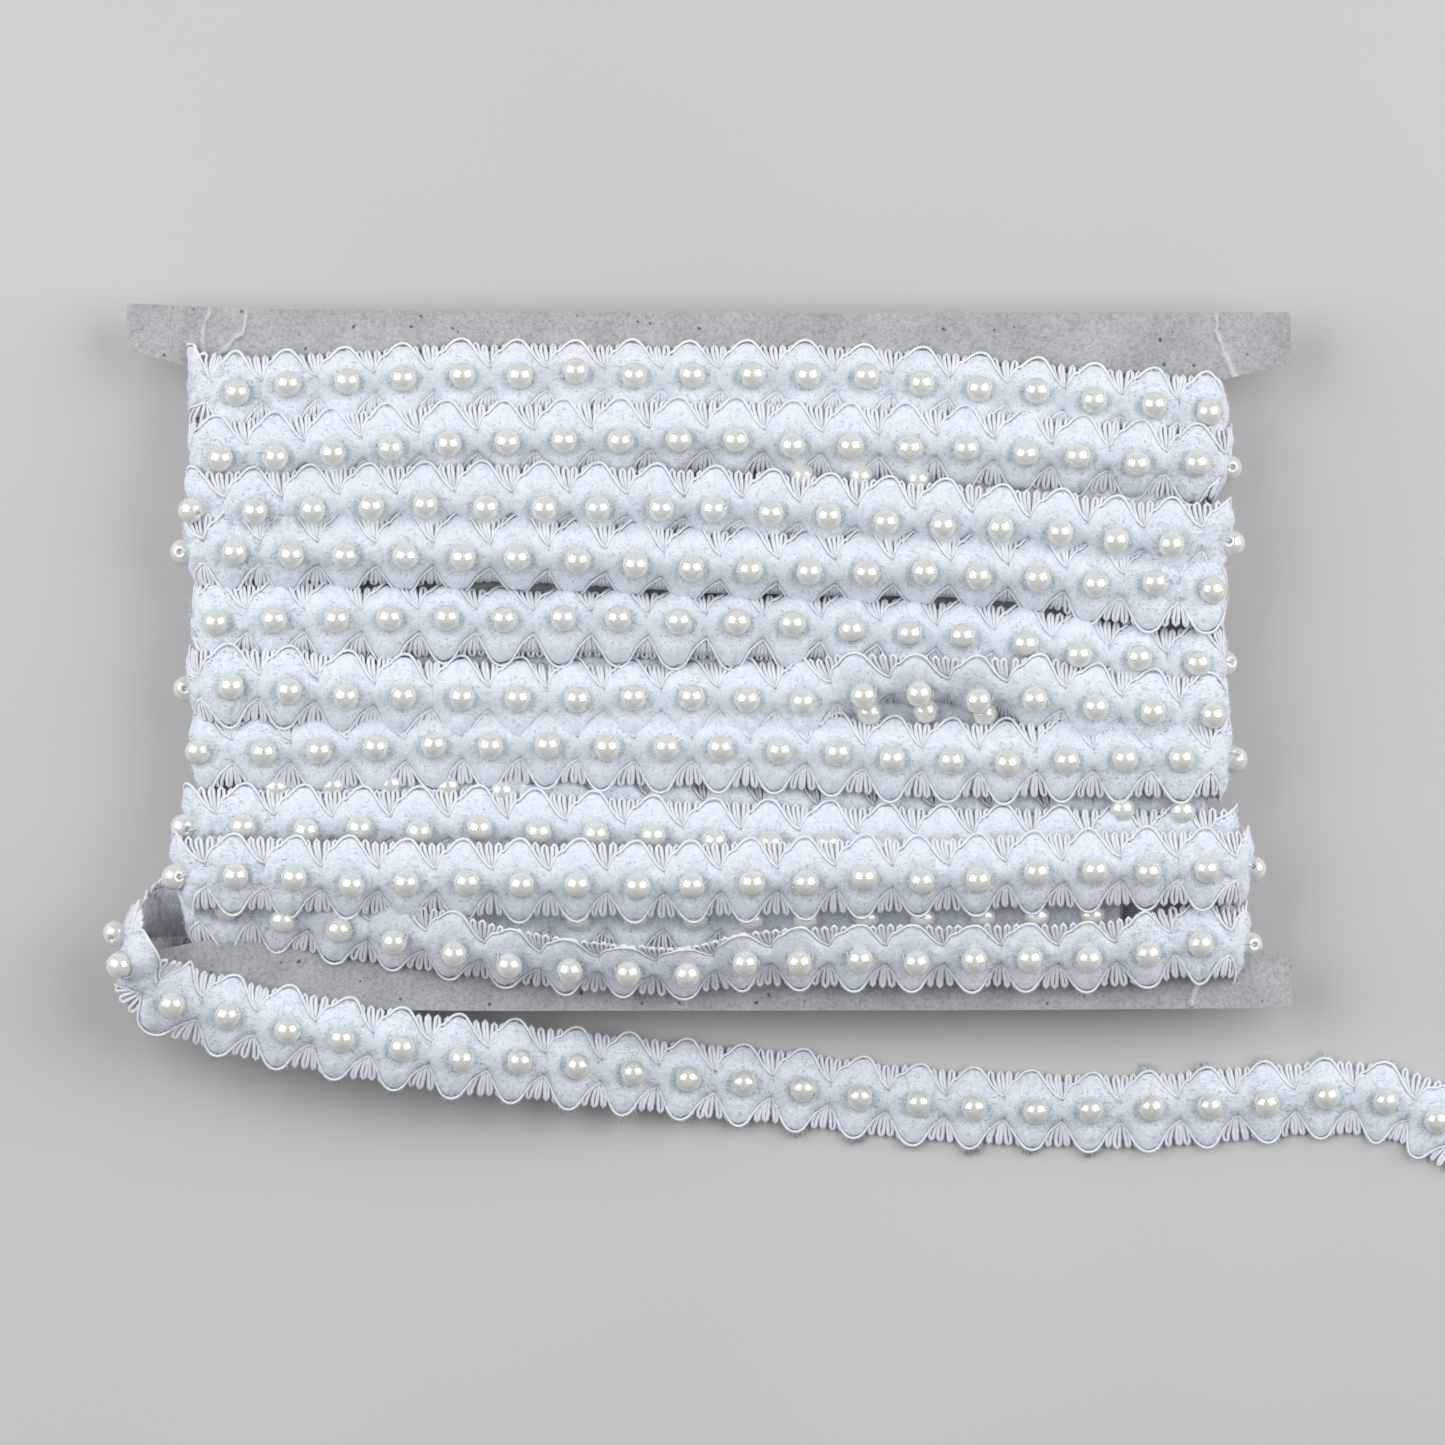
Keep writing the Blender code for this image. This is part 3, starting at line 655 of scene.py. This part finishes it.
def loops(motifs, detail):
    """The loops of gimp thread that fan out from the cusps between motifs."""
    half = LOOP_HALF[::detail.loop_step]
    share, width, reach, height = np.concatenate((half, half[-2::-1])).T
    sign = np.where(np.arange(len(width)) < len(half), -1.0, 1.0)
    parts = []
    for hand in (1, -1):
        offset = LOOPS[None, :] + rng.uniform(-0.2, 0.2, (motifs.count, len(LOOPS)))
        stretch = 1 + rng.uniform(-0.035, 0.03, (motifs.count, len(LOOPS)))
        swell = 1 + rng.uniform(-0.25, 0.1, (motifs.count, len(LOOPS)))
        level = rng.uniform(-0.15, 0.15, (motifs.count, len(LOOPS)))
        s = motifs.end[:, None, None] + offset[..., None] * share + sign * width * swell[..., None]
        s = s - 0.06 * hand * (reach - 4.0)
        b = hand * reach * stretch[..., None] * np.ones_like(s)
        arched = np.maximum(np.interp(s, motifs.ribbon.distance, motifs.ribbon.curl) - CURL, 0)
        droop = LOOP_DROOP * arched * (reach / LOOP_REACH) ** 2 * (hand < 0)
        c = height + level[..., None] * (reach / LOOP_REACH) - droop
        path = motifs.ribbon.at(s.ravel(), b.ravel(), c.ravel()).reshape(-1, len(width), 3)
        face = motifs.ribbon.frame(s.ravel())[3].reshape(-1, len(width), 3)
        parts.append(tubes(path, face, THREAD_RADIUS, detail.thread_corners))
    return joined(parts)


TAPE_STATIONS = np.linspace(-1, 1, 5)[:-1]
# The tape's section, in half widths and thicknesses, and which of its sides are the front
TAPE_SECTION = np.array([(1.0, 0.0), (1.0, 1.0), (0.0, 1.0), (-1.0, 1.0), (-1.0, 0.0), (0.0, 0.0)])
TAPE_FRONT = (1, 2)


def tape(motifs):
    """The felted tape under the scallops, one long strip."""
    s = np.append(motifs.distance(TAPE_STATIONS).ravel(), motifs.end[-1])
    corners = len(TAPE_SECTION)
    b = np.tile(TAPE_SECTION[:, 0] * TAPE_HALF_WIDTH, len(s))
    c = np.tile(TAPE_SECTION[:, 1] * TAPE_THICKNESS, len(s))
    points = motifs.ribbon.at(np.repeat(s, corners), b, c)
    return points, tube_faces(len(s), corners)


TUFT_FIBRES = 34
TUFT_FOOT = 0.19
TUFT_SIDE_CHANGES = 262.0


def tufts(motifs, below_until):
    """The pile that shows beyond the scallops on one edge: below up to this distance, and above past it."""
    u = rng.uniform(-0.28, 0.24, (motifs.count, TUFT_FIBRES))
    hand = np.where(motifs.at < below_until, -1.0, 1.0)[:, None]
    reach = np.where(hand < 0, outline(u, -1), outline(u, 1)) * rng.uniform(0.8, 0.94, u.shape)
    s, b = motifs.distance(u).ravel(), (hand * reach).ravel()
    foot = motifs.ribbon.at(s, b, rng.uniform(0.2, 0.8, len(s)))
    _, ahead, side, face = motifs.ribbon.frame(s)
    out = np.broadcast_to(hand, u.shape).reshape(-1, 1)
    lean = side * out + ahead * rng.normal(0, 0.3, out.shape) + face * rng.uniform(-0.05, 0.3, out.shape)
    lean = unit(lean)
    grown = rng.uniform(0.3, 1.0, motifs.count).repeat(TUFT_FIBRES) * rng.uniform(0.7, 1.15, len(s))
    return spikes(foot, lean, ahead, 1.9 + 1.6 * grown, TUFT_FOOT, pile_numbers(0 * b, b, u.ravel()))


PEARL_HOLE, HOLE_DEPTH = 0.6, 0.9


def pearl_template(corners, bands):
    """A drilled pearl, turned about its own x axis."""
    tip = math.asin(PEARL_HOLE / PEARL_RADIUS)
    angle = np.linspace(tip, math.pi - tip, bands + 1)
    x, r = -PEARL_RADIUS * np.cos(angle), PEARL_RADIUS * np.sin(angle)
    depth = PEARL_RADIUS - HOLE_DEPTH
    x = np.concatenate(([-depth, -depth], x, [depth, depth]))
    r = np.concatenate(([0.05, PEARL_HOLE * 0.8], r, [PEARL_HOLE * 0.8, 0.05]))
    turned = 2 * math.pi * np.arange(corners) / corners
    y, z = np.outer(r, np.cos(turned)), np.outer(r, np.sin(turned))
    points = np.stack([np.repeat(x, corners), y.ravel(), z.ravel()], axis=1)
    return points, tube_faces(len(x), corners)


PEARL_SPIN, PEARL_NOD, PEARL_SHIFT = 0.28, 0.2, 0.32


def pearls(motifs, detail):
    """One pearl on each motif, a little off its middle and turned a little."""
    at = motifs.at[motifs.pearled]
    count = len(at)
    centre, ahead, side, face = motifs.ribbon.frame(at)
    spin, nod = rng.normal(0, PEARL_SPIN, count), rng.normal(0, PEARL_NOD, count)
    shift = rng.normal(0, PEARL_SHIFT, (count, 2))
    middle = centre + ahead * shift[:, :1] + side * shift[:, 1:]
    middle = middle + face * (PEARL_HEIGHT - motifs.sunk[motifs.pearled])[:, None]
    x = unit(ahead * np.cos(spin)[:, None] + side * np.sin(spin)[:, None] + face * np.sin(nod)[:, None])
    y = unit(np.cross(face, x))
    axes = np.stack([x, y, np.cross(x, y)], axis=1)
    template, faces = pearl_template(detail.pearl_corners, detail.pearl_bands)
    return copies(template, faces, middle, axes), (middle, axes)


# A stitch's points: how far out along the pearl's hole, and how far down towards the tape
STITCH = ((2.3, 0.0), (2.95, 0.0), (3.15, 0.5), (3.2, 1.3), (3.0, 2.4))
STITCH_RADIUS = 0.15


def stitches(motifs, placed):
    """The threads that hold each pearl, from its hole down into the plush."""
    middle, axes = placed
    face = motifs.ribbon.frame(motifs.at[motifs.pearled])[3]
    parts = []
    for hand in (-1, 1):
        x = axes[:, 0] * hand
        path = np.stack([middle + x * out - face * down for out, down in STITCH], axis=1)
        across = np.broadcast_to(axes[:, 1][:, None, :], path.shape)
        parts.append(tubes(path, across, STITCH_RADIUS, 4))
    return joined(parts)


# Materials


class Shader:
    """A material's nodes. Each call adds a node and gives one of its outputs."""

    def __init__(self, name, **values):
        self.material = bpy.data.materials.new(name)
        self.material.use_nodes = True
        self.tree = self.material.node_tree
        self.surface = self.tree.nodes["Principled BSDF"]
        for key, value in values.items():
            self.surface.inputs[key.replace("_", " ")].default_value = value

    def node(self, kind, inputs, output=0, **settings):
        """A node with its settings and its inputs, each a value or another node's output."""
        made = self.tree.nodes.new("ShaderNode" + kind)
        for name, value in settings.items():
            setattr(made, name, value)
        for name, value in inputs.items():
            if isinstance(value, bpy.types.NodeSocket):
                self.tree.links.new(value, made.inputs[name])
            else:
                made.inputs[name].default_value = value
        return made.outputs[output]

    def place(self):
        return self.node("TexCoord", {}, "Object")

    def vector(self, operation, a, b, output=0):
        inputs = {0: a, ("Scale" if operation == "SCALE" else 1): b}
        return self.node("VectorMath", inputs, output, operation=operation)

    def noise(self, size, detail, roughness, vector, output="Fac"):
        """Noise with features of a size in millimetres."""
        inputs = {"Vector": vector, "Scale": 1.0 / (size * MM), "Detail": detail, "Roughness": roughness}
        return self.node("TexNoise", inputs, output)

    def fade(self, value, low, high, to_low, to_high):
        """A value taken smoothly from the range low to high to the range to_low to to_high."""
        inputs = {"Value": value, "From Min": low, "From Max": high, "To Min": to_low, "To Max": to_high}
        return self.node("MapRange", inputs, interpolation_type="SMOOTHSTEP")

    def ramp(self, fac, *stops):
        """A colour ramp with stops of (place, colour)."""
        made = self.node("ValToRGB", {"Fac": fac})
        elements = made.node.color_ramp.elements
        while len(elements) < len(stops):
            elements.new(0.5)
        for element, (place, colour) in zip(elements, stops):
            element.position = place
            element.color = (*colour, 1.0)
        return made

    def mix(self, a, b, share=1.0, kind="MULTIPLY"):
        return self.node("Mix", {0: share, 6: a, 7: b}, 2, data_type="RGBA", blend_type=kind)

    def finish(self, colour, *layers):
        """The material, with its colour and the bump of layers: height, strength and size in millimetres."""
        self.tree.links.new(colour, self.surface.inputs["Base Color"])
        normal = None
        for height, strength, distance in layers:
            inputs = {"Height": height, "Strength": strength, "Distance": distance * MM}
            if normal is not None:
                inputs["Normal"] = normal
            normal = self.node("Bump", inputs)
        if normal is not None:
            self.tree.links.new(normal, self.surface.inputs["Normal"])
        return self.material


def plush_material():
    """Short pile in wisps that radiate from the pearl, with grey specks thicker near it and painted shade in
    a ring round it.
    """
    made = Shader(
        "plush_pile", Roughness=0.95, Sheen_Weight=0.25, Sheen_Roughness=0.5, Specular_IOR_Level=0.2
    )
    bearing = made.node("Attribute", {}, "Vector", attribute_name="pile")
    distance = made.node("SeparateXYZ", {"Vector": bearing}, "Z")
    place = made.place()
    rays = made.vector("MULTIPLY", bearing, (7.0, 7.0, 0.45))
    drift = made.vector("SCALE", place, 0.12 / MM)
    wisps = made.noise(1 / MM, 3.0, 0.6, made.vector("ADD", rays, drift))
    mottle = made.noise(1.7, 3.0, 0.6, place)
    fibre = made.noise(0.3, 3.0, 0.65, place)
    clump = made.noise(0.95, 2.0, 0.5, place)
    whites = [(0.3, (0.76, 0.82, 0.91)), (0.5, (0.805, 0.865, 0.95)), (0.7, (0.83, 0.885, 0.965))]
    streaks = made.ramp(wisps, (0.3, (0.8, 0.81, 0.84)), (0.5, (1.0, 1.0, 1.0)))
    colour = made.mix(made.ramp(mottle, *whites), streaks, 0.5)
    # Painted shade: the pile is darkened in a ring from 2.6 to 4.2 mm round the pearl, where it sinks into
    # the pearl's seat
    colour = made.mix(colour, made.fade(distance, 2.6, 4.2, 0.84, 1.0))
    specks = made.fade(made.noise(0.7, 3.0, 0.65, place), 0.32, 0.47, 0.66, 1.0)
    colour = made.mix(colour, specks, made.fade(distance, 3.8, 6.6, 1.0, 0.3))
    return made.finish(colour, (clump, 0.6, 0.35), (wisps, 0.45, 0.35), (fibre, 0.7, 0.18))


def thread_material(name, colour, roughness, twist):
    """Shiny thread with the ply's twist at this pitch in millimetres."""
    made = Shader(name, Roughness=roughness, Sheen_Weight=0.2, Specular_IOR_Level=0.5)
    place = made.place()
    darker = tuple(0.93 * part for part in colour)
    mottled = made.ramp(made.noise(2.5, 2.0, 0.5, place), (0.35, darker), (0.6, colour))
    wave = {"Vector": place, "Scale": math.pi / (10 * twist * MM) / 1.73, "Distortion": 2.0, "Detail": 1.0}
    plies = made.node("TexWave", wave, "Fac", wave_type="BANDS", bands_direction="DIAGONAL")
    return made.finish(mottled, (plies, 0.5, 0.08))


def tape_material(name, dark, light):
    """Felted backing, with fibres that run across the tape."""
    made = Shader(name, Roughness=0.95, Sheen_Weight=0.2, Specular_IOR_Level=0.2)
    stretched = made.node("Mapping", {"Vector": made.place(), "Scale": (1.0, 0.3, 0.45)})
    mottled = made.ramp(made.noise(0.9, 4.0, 0.65, stretched), (0.32, dark), (0.62, light))
    return made.finish(mottled, (made.noise(0.35, 3.0, 0.7, stretched), 0.8, 0.25))


def pearl_material():
    """A bright nacre coat over an ivory body."""
    body = {"Roughness": 0.2, "IOR": 1.8, "Specular_IOR_Level": 0.5}
    made = Shader("pearl_coat", **body, Coat_Weight=1.0, Coat_Roughness=0.1, Coat_IOR=2.1)
    tint = made.noise(2.4, 1.0, 0.5, made.place())
    return made.finish(made.ramp(tint, (0.3, (0.68, 0.7, 0.64)), (0.7, (0.76, 0.775, 0.73))))


# Creases in the card: the places that each goes through, from the card's centre, and its stretches' widths
CREASES = [
    (((-111.5, 78.3), (-113.0, 73.1), (-113.3, 67.9)), (0.5, 0.5)),
    (((-103.2, 77.6), (-104.1, 73.1), (-108.1, 69.1), (-112.2, 66.2)), (0.4, 0.5, 0.6)),
    (((113.0, 76.9), (113.3, 73.1), (115.1, 67.9), (117.3, 63.0)), (0.4, 0.5, 0.6)),
    (((110.4, -71.1), (108.6, -73.3), (107.5, -77.3)), (0.5, 0.5)),
]
CREASE_SPREAD = 2.4


def crease_mask(made, position, start, end, width):
    """1 on a crease, a straight line from start to end, fading to 0 at width from it."""
    start, end = (np.array((*point, 0.0)) + CARD_CENTRE for point in (start, end))
    along = end - start
    away = made.vector("SUBTRACT", position, tuple(start * MM))
    projected = made.vector("DOT_PRODUCT", away, tuple(along / float(along @ along) / MM), "Value")
    share = made.node("Clamp", {"Value": projected})
    nearest = made.vector("SCALE", tuple(along * MM), share)
    return made.fade(made.vector("DISTANCE", away, nearest, "Value"), 0.0, width * MM, 1.0, 0.0)


def card_material():
    """Grey chipboard: clouds, short fibres, dark specks and paler creases."""
    made = Shader("grey_chipboard", Roughness=0.88, Specular_IOR_Level=0.3)
    place = made.place()
    flat = made.vector("MULTIPLY", place, (1, 1, 0))
    warp = made.vector("SUBTRACT", made.noise(2.2, 2.0, 0.5, flat, "Color"), (0.5, 0.5, 0.5))
    warped = made.vector("ADD", flat, made.vector("MULTIPLY", warp, (1.6 * MM, 1.6 * MM, 0.0)))
    cloud = made.noise(12.0, 3.0, 0.5, place)
    grain = made.noise(0.75, 4.0, 0.75, place)
    colour = made.ramp(cloud, (0.3, (0.37, 0.385, 0.395)), (0.7, (0.455, 0.47, 0.48)))
    fine = made.ramp(grain, (0.3, (0.66, 0.66, 0.67)), (0.5, (1.0, 1.0, 1.0)), (0.72, (1.25, 1.25, 1.24)))
    colour = made.mix(colour, fine)
    stretched = made.node("Mapping", {"Vector": warped, "Scale": (0.55, 1.0, 1.0)})
    fibre = made.noise(0.42, 2.0, 0.5, stretched)
    colour = made.mix(colour, made.fade(fibre, 0.28, 0.38, 0.66, 1.0))
    cells = {"Vector": warped, "Scale": 1 / (4.5 * MM), "Randomness": 1.0}
    specks = made.fade(made.node("TexVoronoi", cells, "Distance"), 0.05, 0.12, 0.3, 1.0)
    colour = made.mix(colour, specks)
    creased = 0.0
    for places, widths in CREASES:
        for start, end, width in zip(places, places[1:], widths):
            mask = crease_mask(made, warped, start, end, width * CREASE_SPREAD)
            creased = made.node("Math", {0: creased, 1: mask}, operation="MAXIMUM")
    faint = made.node("Math", {0: creased, 1: 0.65}, operation="MULTIPLY")
    colour = made.mix(colour, (0.7, 0.72, 0.73, 1.0), faint, "MIX")
    return made.finish(colour, (fibre, 0.5, 0.15), (grain, 0.5, 0.12), (creased, 1.0, 0.6))


# The object

plush_pile = plush_material()
# Painted shade: the gimp thread is darker than the satin cord, for the shade on the loops in the cusps
# between the scallops
gimp_thread_shaded = thread_material("gimp_thread_shaded", (0.84, 0.875, 0.94), 0.4, 0.45)
satin_cord = thread_material("satin_cord", (0.9, 0.93, 0.98), 0.34, 0.6)
tape_felt = tape_material("tape_felt", (0.42, 0.44, 0.48), (0.72, 0.75, 0.8))
# Painted shade: the web on the tape's front is darkened for the shade that falls between the loops
tape_web_shaded = tape_material("tape_web_shaded", (0.56, 0.59, 0.65), (0.78, 0.81, 0.87))
pearl_coat = pearl_material()

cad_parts["card"].data.materials.clear()
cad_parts["card"].data.materials.append(card_material())


EDGE_REACH = 8.6


def unevenness(centres, sides):
    """The stations moved and turned a little, as a soft ribbon lies, and kept clear of the surface."""
    steps = np.linalg.norm(np.diff(centres, axis=0), axis=1)
    s = np.concatenate(([0.0], np.cumsum(steps)))
    line = np.stack([s, 0 * s, 0 * s], axis=1)
    sway = 0.35 * noise(line, 31.0, 5) + 0.2 * noise(line, 13.0, 6)
    roll = np.radians(3.0 * noise(line, 26.0, 7) + 2.0 * noise(line, 11.0, 8))
    face = np.cross(unit(np.gradient(centres, axis=0)), sides)
    centres = centres + sides * sway[:, None]
    sides = unit(sides + face * roll[:, None])
    centres[:, 2] = np.maximum(centres[:, 2], EDGE_REACH * np.abs(sides[:, 2]))
    return centres, sides


LOOSE_FUZZ, FRONT_FUZZ, TURN_FUZZ = 260, 100, 150
TURN_MOTIFS = 3
TURN_FIBRES_LONGER = 1.35


def make_tape(name, motifs):
    """The tape of a run of braid, with a web of thread on its front, darkened with painted shade, and felt on
    its back.
    """
    points, faces = tape(motifs)
    made = make_piece(name, points, faces, tape_felt, "plush")
    made.data.materials.append(tape_web_shaded)
    strips = np.arange(len(made.data.polygons)) % len(TAPE_SECTION)
    strips[len(faces[0]):] = 0
    made.data.polygons.foreach_set("material_index", np.isin(strips, TAPE_FRONT).astype(np.int32))
    return made


def make_braid(name, motifs, detail, fibres=0):
    """The pieces of a run of braid, apart from its tape: plush, fibres, cords, loops and pearls."""
    points, faces, pile = plush(motifs, detail)
    made = [make_piece(name + "_plush", points, faces, plush_pile, "plush", pile)]
    made.append(make_piece(name + "_cords", *edge_cords(motifs, detail), satin_cord, "gimp"))
    made.append(make_piece(name + "_loops", *loops(motifs, detail), gimp_thread_shaded, "gimp"))
    if motifs.pearled.any():
        shapes, placed = pearls(motifs, detail)
        made.append(make_piece(name + "_pearls", *shapes, pearl_coat, "pearl"))
    if detail is FINE:
        made.append(make_piece(name + "_stitches", *stitches(motifs, placed), gimp_thread_shaded, "gimp"))
    if fibres:
        counts, longer = np.full(motifs.count, fibres), np.ones(motifs.count)
        if fibres == FRONT_FUZZ:
            on_turns = np.r_[:TURN_MOTIFS, motifs.count - TURN_MOTIFS:motifs.count]
            counts[on_turns], longer[on_turns] = TURN_FUZZ, TURN_FIBRES_LONGER
        points, faces, pile = fuzz(motifs, counts, longer)
        made.append(make_piece(name + "_fibres", points, faces, plush_pile, "plush", pile))
    return made


path_centres, path_sides, path_curls, front_numbers, loose_station = braid_path()
ribbon = Ribbon(*unevenness(path_centres, path_sides), path_curls)
pearl_places, first_loose = place_pearls(ribbon, front_numbers, loose_station)


def motif_at(number):
    """The number of the motif whose pearl lies at this station number."""
    distance = np.interp(number, np.arange(len(ribbon.distance)), ribbon.distance)
    return int(np.searchsorted(pearl_places, distance - 0.01))


# The turns: each begins and ends with pressed motifs, past the first and the last pearl measured on the front
wound_pieces = []
EDGE_MOTIFS = 2
BARE_STARTS = (0, 1, 4)
for i in range(len(ROWS)):
    front_from = motif_at(front_numbers[i][0]) - EDGE_MOTIFS
    front_to = motif_at(front_numbers[i][-1]) + 1 + EDGE_MOTIFS
    if i == 0:
        wound_pieces += make_braid("lead_in", Motifs(ribbon, pearl_places, 0, front_from), PLAIN)
    name = f"turn_{i + 1:02d}"
    front_motifs = Motifs(ribbon, pearl_places, front_from, front_to)
    front_motifs.press(np.r_[:EDGE_MOTIFS, front_motifs.count - EDGE_MOTIFS:front_motifs.count])
    front_motifs.pearled[0] = i not in BARE_STARTS
    wound_pieces += make_braid(name + "_front", front_motifs, FINE, FRONT_FUZZ)
    if i + 1 < len(ROWS):
        back_to = motif_at(front_numbers[i + 1][0]) - EDGE_MOTIFS
    else:
        back_to = first_loose
    wound_pieces += make_braid(name + "_back", Motifs(ribbon, pearl_places, front_to, back_to), PLAIN)

wound_motifs = Motifs(ribbon, pearl_places, 0, first_loose)
wound_tape = make_tape("wound_tape", wound_motifs)
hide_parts("wound_trim")

loose_motifs = Motifs(ribbon, pearl_places, first_loose, len(pearl_places))
loose_pieces = make_braid("loose_end", loose_motifs, FINE, LOOSE_FUZZ)
tuft_change = ribbon.distance[loose_station] + TUFT_SIDE_CHANGES
points, faces, pile = tufts(loose_motifs, tuft_change)
loose_pieces.append(make_piece("loose_end_tufts", points, faces, plush_pile, "plush", pile))
loose_tape = make_tape("loose_end_tape", loose_motifs)
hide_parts("loose_end")

for number, under in enumerate(UNDER_ROWS, 1):
    across = np.arange(under.left, under.right + STATION_STEP, STATION_STEP)
    up_card = smooth(PLACES, under.pearls, across)
    centres = np.stack([across, up_card, np.full(len(across), UNDER_HEIGHT)], axis=1)
    strip = Ribbon(centres, np.tile((0.0, 1.0, 0.0), (len(across), 1)), CURL / 3)
    length = strip.distance[-1]
    start = (under.phase - under.left) % PITCH
    places = np.arange(start if start > PITCH / 2 else start + PITCH, length - PITCH / 2, PITCH)
    motifs = Motifs(strip, places, 0, len(places))
    motifs.pearled = (places + under.left < under.hidden[0]) | (places + under.left > under.hidden[1])
    motifs.sunk[:] = under.sunk
    name = f"under_{number:02d}"
    pieces = make_braid(name, motifs, BELOW)
    under_tape = make_tape(name + "_tape", motifs)


# Floor, light and camera

scene = bpy.context.scene


def floor_material():
    made = Shader("floor_paper", Roughness=0.8, Specular_IOR_Level=0.2)
    soft = made.noise(180.0, 2.0, 0.5, made.place())
    return made.finish(made.ramp(soft, (0.3, (0.56, 0.56, 0.56)), (0.7, (0.59, 0.59, 0.59))))


FLOOR_HALF = 8.0
FLOOR_DROP = 0.00005
bpy.ops.mesh.primitive_plane_add(size=2 * FLOOR_HALF, location=(0, 0, -FLOOR_DROP))
floor = bpy.context.object
floor.name = "floor"
floor.data.materials.append(floor_material())

# The softboxes, one on each side: the way to the right one from the card's middle, their size and their power
LIGHT_WAY = np.array((0.766, 0.27, 0.643))
LIGHT_DISTANCE = 1.15
LIGHT_SIZE = (1.1, 1.4)
LIGHT_POWER = 12.7
middle = CARD_CENTRE * MM
for name, hand in (("softbox_left", -1), ("softbox_right", 1)):
    light = bpy.data.lights.new(name, "AREA")
    light.shape = "RECTANGLE"
    light.size, light.size_y = LIGHT_SIZE
    light.energy = LIGHT_POWER
    light.color = (1.0, 0.995, 0.985)
    softbox = bpy.data.objects.new(name, light)
    scene.collection.objects.link(softbox)
    place = LIGHT_WAY * (hand, 1, 1) * LIGHT_DISTANCE + middle
    softbox.location = place
    softbox.rotation_euler = Vector(middle - place).to_track_quat("-Z", "Y").to_euler()

world = bpy.data.worlds.new("studio")
scene.world = world
world.use_nodes = True
background = world.node_tree.nodes["Background"].inputs
background["Color"].default_value = (0.93, 0.96, 1.0, 1.0)
background["Strength"].default_value = 0.21
scene.view_settings.view_transform = "Standard"

camera_data = bpy.data.cameras.new("photo_camera")
camera_data.sensor_width = SENSOR
camera_data.lens = SENSOR * (CAMERA_HEIGHT - SHARP_HEIGHT) / PHOTO_WIDTH_MM
camera_data.clip_start, camera_data.clip_end = 0.1, 50.0
camera = bpy.data.objects.new("photo_camera", camera_data)
scene.collection.objects.link(camera)
camera.location = (middle[0] + PHOTO_CENTRE[0] * MM, middle[1] + PHOTO_CENTRE[1] * MM, CAMERA_HEIGHT * MM)
bpy.context.scene.camera = camera
